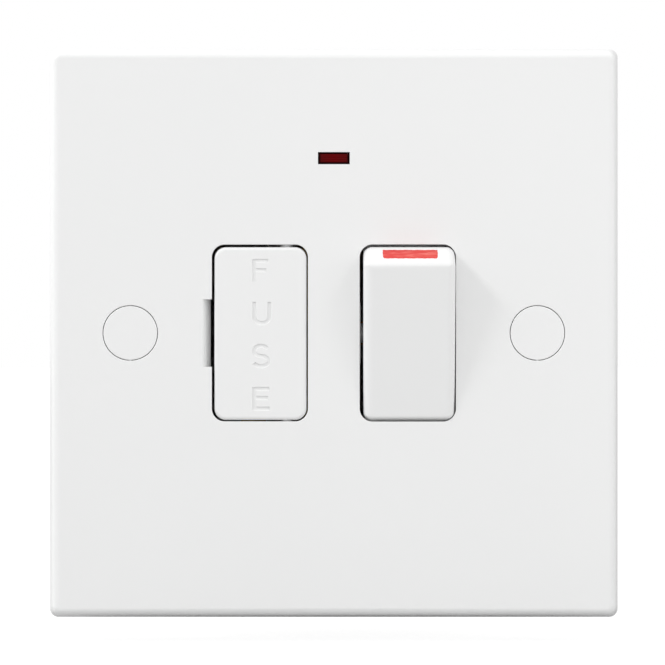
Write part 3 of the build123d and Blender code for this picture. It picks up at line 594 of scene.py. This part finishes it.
# Red flash: pigment foil, hot-stamped on the rocker's upper end so that it shows only while the switch
# is on. The stamp leaves it a little uneven, with pale streaks where the foil is thin and nibbled edges.
FLASH_X, FLASH_W = 11.26, 8.27
FLASH_START, FLASH_END = np.radians(52.6), np.radians(63.5)
FOIL_LIFT, FOIL_BITE = 0.03, 0.05
CORNER_CUT, CORNER_REACH = 0.25, 0.3
SIDE_WAVER, SIDE_WAVES = 0.04, ((19, 1), (31, 0))
EDGE_WAVER, EDGE_WAVES = 0.004, ((9, 0), (23, 2))
# Painted shade: the foil's red is darker at its top, where the plate's edge shades it, and lighter at its
# foot.
FOIL_HEAD_SHADED, FOIL_FOOT = (0.63, 0.012, 0.008, 1), (0.69, 0.05, 0.04, 1)
FOIL_THIN, THIN_FROM, THIN_FULL = (0.80, 0.2, 0.16, 1), 0.47, 0.72
STREAK_SLANT, STREAK_DRAWN, STREAK_SCALE = (0, 0.5, 0), (0.18, 1, 1), 2600.0
FOIL_GLOSS, FOIL_GLOSS_SPREAD, FOIL_BUMP = 0.34, 0.2, 0.00001


def waver(size, waves, place):
    """Uneven edge: the product of two sines of a place along it, each with its rate and its start."""
    (slow, slow_start), (quick, quick_start) = waves
    return size * np.sin(slow * place + slow_start) * np.sin(quick * place + quick_start)


def end_foil(rows=24, columns=60):
    """Closed skin on the rocker's end: across is X, along is the angle about the pivot.

    The rim wavers by a few hundredths and its lower corners are cut back. From the outer skin, a foil's
    lift over the end's radius, the rim turns down to a ring just under the end's surface.
    """
    along, across = np.meshgrid(np.linspace(0, 1, rows), np.linspace(-1, 1, columns), indexing="ij")
    cut_back = CORNER_CUT * np.clip(1 - along / CORNER_REACH, 0, 1) ** 2
    half = FLASH_W / 2 - cut_back + waver(SIDE_WAVER, SIDE_WAVES, along)
    sway = waver(EDGE_WAVER, EDGE_WAVES, across) * np.abs(2 * along - 1)
    angle = FLASH_START + (FLASH_END - FLASH_START) * along + sway
    rim = np.minimum(np.minimum(along, 1 - along) * rows, (1 - np.abs(across)) * columns / 2)
    radius = END_R + np.where(rim < 0.5, -FOIL_BITE, FOIL_LIFT)
    return np.stack(
        (FLASH_X + half * across, PIVOT_Y - radius * np.cos(angle), radius * np.sin(angle)), axis=-1
    )


red_foil, tree, sockets = new_material("red_foil")
where = tree.nodes.new("ShaderNodeTexCoord").outputs["Object"]
slanted = shader_node(
    tree, "ShaderNodeMapping", {"Vector": where, "Rotation": STREAK_SLANT, "Scale": STREAK_DRAWN}
).outputs[0]
thin = risen(tree, noise(tree, slanted, STREAK_SCALE, 3.0), THIN_FROM, THIN_FULL)
height = shader_node(tree, "ShaderNodeSeparateXYZ", {"Vector": where}).outputs["Z"]
foot, head = (END_R * np.sin(angle) * MM for angle in (FLASH_START, FLASH_END))
# Painted shade: the red darkens towards the foil's top, next to the plate's edge.
pigment = mixed(tree, risen(tree, height, head, foot), FOIL_HEAD_SHADED, FOIL_FOOT)
tree.links.new(mixed(tree, thin, pigment, FOIL_THIN), sockets["Base Color"])
dulled = maths(tree, "MULTIPLY", thin, FOIL_GLOSS_SPREAD)
tree.links.new(maths(tree, "ADD", dulled, FOIL_GLOSS), sockets["Roughness"])
roughen(tree, sockets, thin, FOIL_BUMP)
foil = end_foil()
new_piece("rocker_flash", "rocker", "red_lens", foil, grid_faces(*foil.shape[:2]), red_foil)


# Fuse carrier: white moulding, hinged at its right edge, with its function sunk down its face by the tool.
# Each stroke has leaning walls and a softened lip, as a cut that leaves a mould has.
FACE_Y, AHEAD = -9.0, 0.9999
CARRIER_LETTERS = (("F", 7.53), ("U", 1.22), ("S", -5.09), ("E", -11.43))
CARRIER_LETTER_H, CARRIER_LETTER_LEFT = 3.38, -12.03
SUNK_PROFILE = ((0.34, 0.03), (0.29, -0.01), (0.28, -0.03), (0.27, -0.07), (0.25, -0.15))
strokes = []
for letter, foot in CARRIER_LETTERS:
    for path in word_paths(letter, CARRIER_LETTER_LEFT, foot, CARRIER_LETTER_H):
        flat, lift = stroke_skin(path, SUNK_PROFILE)
        strokes.append(np.stack((flat[..., 0], FACE_Y - lift, flat[..., 1]), axis=-1))
letters = new_piece("letters", "carrier", "white_moulding", *join_skins(strokes), white_moulding)


def shade_with_face(mesh, sharp=CREASE):
    """Shades smooth, but for edges past an angle and those round each face that looks straight ahead."""
    mesh.shade_smooth()
    mesh.set_sharp_from_angle(angle=np.radians(sharp))
    normals = np.empty(3 * len(mesh.polygons))
    corners, edges = np.empty(len(mesh.polygons), int), np.empty(len(mesh.loops), int)
    creased = np.empty(len(mesh.edges), bool)
    mesh.polygons.foreach_get("normal", normals)
    mesh.polygons.foreach_get("loop_total", corners)
    mesh.loops.foreach_get("edge_index", edges)
    mesh.edges.foreach_get("use_edge_sharp", creased)
    ahead = np.repeat(np.abs(normals.reshape(-1, 3)[:, 1]) > AHEAD, corners)
    sides = np.bincount(edges, weights=ahead, minlength=len(creased))
    mesh.edges.foreach_set("use_edge_sharp", creased | (sides == 1))


carrier = cut_copy("fuse_carrier", "fuse_carrier_lettered", letters)
shade_with_face(carrier.data)
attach(carrier, "carrier")
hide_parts("fuse_carrier")


# Cartridge fuse: an unglazed ceramic tube between two nickel-plated brass caps, pressed on to its ends.
# It snaps into the carrier's cradle, so that both caps meet their clips when the carrier is shut.
ceramic = material_from(
    "ceramic",
    mould_skin,
    {
        "Colour": (0.80, 0.77, 0.70, 1),
        "Cloud Colour": (0.74, 0.70, 0.62, 1),
        "Cloud Scale": 400.0,
        "Grain Scale": 4000.0,
        "Roughness": 0.6,
        "Roughness Spread": 0.2,
    },
    bump=0.00001,
)
coat(ceramic, "fuse_tube")
plated_cap = material_from(
    "plated_cap",
    worked_metal,
    {
        "Colour": (0.74, 0.72, 0.67, 1),
        "Tarnish": (0.58, 0.54, 0.46, 1),
        "Tarnish Scale": 260.0,
        "Roughness": 0.2,
        "Roughness Spread": 0.14,
    },
    bump=0.000003,
    Metallic=1.0,
)
coat(plated_cap, "fuse_end_caps")


# Neon lens: clear red plastic, pushed into the plate's slot from behind against its flange.
# Its front is finely ribbed inside a bevelled rim. Its colour is painted light and shade: brighter red in
# the middle for light through the clear plastic, dimmer and mottled to the sides, and almost black at the
# rim for the shade in the gap round it.
LENS_Z, LENS_RIB, LENS_RIB_PITCH, LENS_CREASE = 25.9, 0.025, 0.27, 35
LENS_STEPS = (
    (2.3, 0.85, -3.2), (2.3, 0.85, -5.5), (3.5, 2.05, -5.5), (3.5, 2.05, -6.5), (2.3, 0.85, -6.5),
    (2.3, 0.85, -8.62), (2.22, 0.77, -8.78), (2.02, 0.57, -8.93),
)
LENS_FACE_W, LENS_FACE_H, RIM_FROM, RIM_FULL = 2.0, 0.6, 0.92, 1.06
LENS_MIDDLE_LIT, LENS_SIDES = (0.118, 0.002, 0.003, 1), (0.078, 0.005, 0.005, 1)
LENS_RIM_SHADE, SIDES_SHARE = (0.012, 0.0006, 0.0006, 1), 1.6
LENS_GLOSS, LENS_GLOSS_SPREAD, LENS_BUMP = 0.22, 0.1, 0.000003


def ribbed_lens(columns=96, rows=64):
    """Grid over the lens whose outer rings of points are carried back round its edge to its rear end.

    Ring k follows the rectangle of step k: half-width, half-height and Y. Inside the rings the grid is the
    front face, with ribs as a cosine of Z.
    """
    i, j = np.meshgrid(np.arange(columns), np.arange(rows), indexing="ij")
    ring = np.minimum(np.minimum(i, columns - 1 - i), np.minimum(j, rows - 1 - j))
    step = np.minimum(ring, len(LENS_STEPS) - 1)
    wide, tall, depth = np.array(LENS_STEPS).T[:, step]
    mid_i, mid_j = (columns - 1) / 2, (rows - 1) / 2
    x = wide * (i - mid_i) / (mid_i - step)
    z = tall * (j - mid_j) / (mid_j - step)
    ribs = LENS_RIB * (1 - np.cos(2 * np.pi * z / LENS_RIB_PITCH))
    y = depth - np.where(ring >= len(LENS_STEPS), ribs, 0)
    return np.stack((x, y, LENS_Z + z), axis=-1)


lens_points = ribbed_lens()
columns, rows = lens_points.shape[:2]
numbers = np.arange(columns * rows).reshape(columns, rows)
rear = np.concatenate((numbers[:, 0], numbers[-1, 1:], numbers[-2::-1, -1], numbers[0, -2:0:-1]))
red_lens, tree, sockets = new_material("red_lens", Specular_IOR_Level=0.02)
where = tree.nodes.new("ShaderNodeTexCoord").outputs["Object"]
placed = shader_node(
    tree, "ShaderNodeMapping", {"Vector": where, "Location": (0, 0, -LENS_Z * MM)}
).outputs[0]
place = shader_node(tree, "ShaderNodeSeparateXYZ", {"Vector": placed}).outputs
aside = maths(tree, "DIVIDE", maths(tree, "ABSOLUTE", place["X"], 0.0), LENS_FACE_W * MM)
above = maths(tree, "DIVIDE", maths(tree, "ABSOLUTE", place["Z"], 0.0), LENS_FACE_H * MM)
# Painted shade: the colour goes almost black towards the lens's rim, for the gap round it.
rim = risen(tree, maths(tree, "MAXIMUM", aside, above), RIM_FROM, RIM_FULL)
# Painted light: brighter red in the middle, dimming with a little mottling towards the sides.
dimming_to_sides = maths(tree, "MULTIPLY", maths(tree, "MULTIPLY", aside, noise(tree, placed, 900.0)), SIDES_SHARE)
glow = mixed(tree, maths(tree, "MINIMUM", dimming_to_sides, 1.0), LENS_MIDDLE_LIT, LENS_SIDES)
tree.links.new(mixed(tree, rim, glow, LENS_RIM_SHADE), sockets["Base Color"])
dulled = maths(tree, "MULTIPLY", rim, LENS_GLOSS_SPREAD)
tree.links.new(maths(tree, "ADD", dulled, LENS_GLOSS), sockets["Roughness"])
roughen(tree, sockets, noise(tree, placed, 4000.0), LENS_BUMP)
lens_faces = grid_faces(columns, rows) + [rear.tolist()]
lens = new_piece("neon_lens_ribbed", "housing", "red_lens", lens_points, lens_faces, red_lens, LENS_CREASE)
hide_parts("neon_lens")


# Neon lamp: a sealed glass envelope in the base's brackets, with two plated rods side by side inside.
# Its leads are tinned copper, and the series resistor is lacquered and banded.
GLASS_CLEAR, GLASS_TINGED, GLASS_RIPPLE = (0.97, 0.95, 0.93, 1), (0.92, 0.88, 0.84, 1), 0.06
lamp_glass, tree, sockets = new_material("lamp_glass", Transmission_Weight=1.0, IOR=1.5)
where = tree.nodes.new("ShaderNodeTexCoord").outputs["Object"]
ripple = noise(tree, where, 500.0)
tree.links.new(mixed(tree, ripple, GLASS_CLEAR, GLASS_TINGED), sockets["Base Color"])
tree.links.new(maths(tree, "MULTIPLY", ripple, GLASS_RIPPLE), sockets["Roughness"])
coat(lamp_glass, "neon_lamp")
tinned = material_from(
    "tinned_wire",
    worked_metal,
    {
        "Colour": (0.70, 0.69, 0.66, 1),
        "Tarnish": (0.50, 0.48, 0.44, 1),
        "Tarnish Scale": 700.0,
        "Roughness": 0.3,
        "Roughness Spread": 0.15,
    },
    bump=0.000003,
    Metallic=1.0,
)
coat(tinned, "neon_leads")
ROD_R, ROD_ASIDE, ROD_ROOT, ROD_TIP, ROD_BLUNT = 0.3, 0.55, 3.6, 1.8, 10


def lamp_rod(hand, turns=20, steps=14):
    """Round rod along X from a lamp end past its middle: a circle whose radius closes at both ends.

    The radius falls off as a blunt half-ellipse, with a high power in place of the square.
    """
    along = np.linspace(0, 1, steps)[:, None]
    turn = np.linspace(0, 2 * np.pi, turns, endpoint=False)[None, :]
    radius = ROD_R * np.sqrt(np.clip(1 - np.abs(2 * along - 1) ** ROD_BLUNT, 0, 1))
    x = hand * (ROD_ROOT - (ROD_ROOT + ROD_TIP) * along) + 0 * turn
    box_low, box_high = (np.array(corner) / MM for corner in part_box("neon_lamp"))
    middle = (box_low + box_high) / 2
    y = middle[1] + hand * ROD_ASIDE + radius * np.cos(turn)
    return np.stack((x, y, middle[2] + radius * np.sin(turn)), axis=-1)


for name, hand in (("lamp_rod_left", -1), ("lamp_rod_right", 1)):
    skin = lamp_rod(hand)
    new_piece(name, "housing", "lead_wire", skin, grid_faces(*skin.shape[:2], True), tinned)

BAND_W = 0.09
BANDS = (
    (0.18, (0.16, 0.05, 0.02, 1)),
    (0.34, (0.01, 0.01, 0.01, 1)),
    (0.5, (0.62, 0.42, 0.03, 1)),
    (0.8, (0.45, 0.27, 0.06, 1)),
)
LACQUER_PALE, LACQUER_DARK = (0.60, 0.47, 0.29, 1), (0.52, 0.39, 0.22, 1)
LACQUER_GLOSS, LACQUER_GLOSS_SPREAD, LACQUER_BUMP = 0.3, 0.15, 0.00001
lacquer, tree, sockets = new_material("resistor_lacquer")
where = tree.nodes.new("ShaderNodeTexCoord").outputs["Object"]
low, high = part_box("neon_resistor")
height = shader_node(tree, "ShaderNodeSeparateXYZ", {"Vector": where}).outputs["Z"]
share = maths(tree, "DIVIDE", maths(tree, "SUBTRACT", height, low[2]), high[2] - low[2])
cloud = noise(tree, where, 1500.0)
colour = mixed(tree, cloud, LACQUER_PALE, LACQUER_DARK)
for middle, paint in BANDS:
    away = maths(tree, "ABSOLUTE", maths(tree, "SUBTRACT", share, middle), 0.0)
    colour = mixed(tree, maths(tree, "LESS_THAN", away, BAND_W / 2), colour, paint)
tree.links.new(colour, sockets["Base Color"])
dulled = maths(tree, "MULTIPLY", cloud, LACQUER_GLOSS_SPREAD)
tree.links.new(maths(tree, "ADD", dulled, LACQUER_GLOSS), sockets["Roughness"])
roughen(tree, sockets, cloud, LACQUER_BUMP)
coat(lacquer, "neon_resistor")


# Studio: a pale floor under the plate's lower edge, and soft light that is stronger from the left and from
# above. Two small soft boxes hang high at the sides and a wide one at the right, and a long lens looks
# straight at the plate.
FLOOR_HALF, FLOOR_GAP = 3.0, 3.0 * MM
FLOOR_TO_LIGHT, FLOOR_SEEN, FLOOR_GLOW = (0.5, 0.5, 0.5, 1), (0.2, 0.2, 0.2, 1), 0.9
floor_mesh = bpy.data.meshes.new("floor")
corners = np.array([(-1, -1, 0), (1, -1, 0), (1, 1, 0), (-1, 1, 0)]) * FLOOR_HALF
floor_mesh.from_pydata((corners + (0, 0, cad_low.z - FLOOR_GAP)).tolist(), [], [(0, 1, 2, 3)])
floor = bpy.data.objects.new("floor", floor_mesh)
bpy.context.scene.collection.objects.link(floor)
floor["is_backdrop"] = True
floor_paint = bpy.data.materials.new("floor_paint")
floor_paint.use_nodes = True
tree = floor_paint.node_tree
tree.nodes.clear()
seen = shader_node(tree, "ShaderNodeLightPath").outputs["Is Camera Ray"]
paint = mixed(tree, seen, FLOOR_TO_LIGHT, FLOOR_SEEN)
pale = shader_node(tree, "ShaderNodeBsdfDiffuse", {"Color": paint}).outputs[0]
glow = maths(tree, "MULTIPLY", seen, FLOOR_GLOW)
lift = shader_node(tree, "ShaderNodeEmission", {"Strength": glow}).outputs[0]
both = shader_node(tree, "ShaderNodeAddShader", {0: pale, 1: lift}).outputs[0]
shader_node(tree, "ShaderNodeOutputMaterial", {"Surface": both})
floor_mesh.materials.append(floor_paint)

AMBIENT, AMBIENT_SLOPE = 0.838, (-0.464, 0.0, 0.181)
world = bpy.data.worlds.new("studio")
bpy.context.scene.world = world
world.use_nodes = True
tree = world.node_tree
seen = shader_node(tree, "ShaderNodeLightPath").outputs["Is Camera Ray"]
towards = tree.nodes.new("ShaderNodeTexCoord").outputs["Generated"]
slope = shader_node(
    tree, "ShaderNodeVectorMath", {0: towards, 1: AMBIENT_SLOPE}, operation="DOT_PRODUCT"
).outputs["Value"]
soft = maths(tree, "ADD", slope, AMBIENT)
tree.nodes["Background"].inputs["Color"].default_value = (1, 1, 1, 1)
tree.links.new(maths(tree, "MAXIMUM", soft, seen), tree.nodes["Background"].inputs["Strength"])

BOXES = (
    ("key_box", (-0.435, -0.21, 0.355), 0.13, 1.1),
    ("fill_box", (0.42, -0.245, 0.415), 0.13, 0.405),
    ("side_box", (0.3, -0.2, 0.06), 0.3, 0.312),
)
for name, place, across, power in BOXES:
    lamp = bpy.data.lights.new(name, "AREA")
    lamp.shape = "DISK"
    lamp.size = across
    lamp.energy = power
    box = bpy.data.objects.new(name, lamp)
    bpy.context.scene.collection.objects.link(box)
    box.location = place
    box.rotation_euler = box.location.to_track_quat("Z", "Y").to_euler()

FILM_W, FOCAL, NEAREST = 36.0, 142.0, 0.01
VIEW_X, VIEW_Y, VIEW_Z = -0.2, -397.4, 0.08
camera = bpy.data.cameras.new("camera")
camera.sensor_width = FILM_W
camera.lens = FOCAL
camera.clip_start = NEAREST
viewer = bpy.data.objects.new("camera", camera)
bpy.context.scene.collection.objects.link(viewer)
viewer.location = (VIEW_X * MM, VIEW_Y * MM, VIEW_Z * MM)
viewer.rotation_euler = (np.pi / 2, 0, 0)
bpy.context.scene.camera = viewer
bpy.context.scene.view_settings.view_transform = "Standard"

low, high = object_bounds()
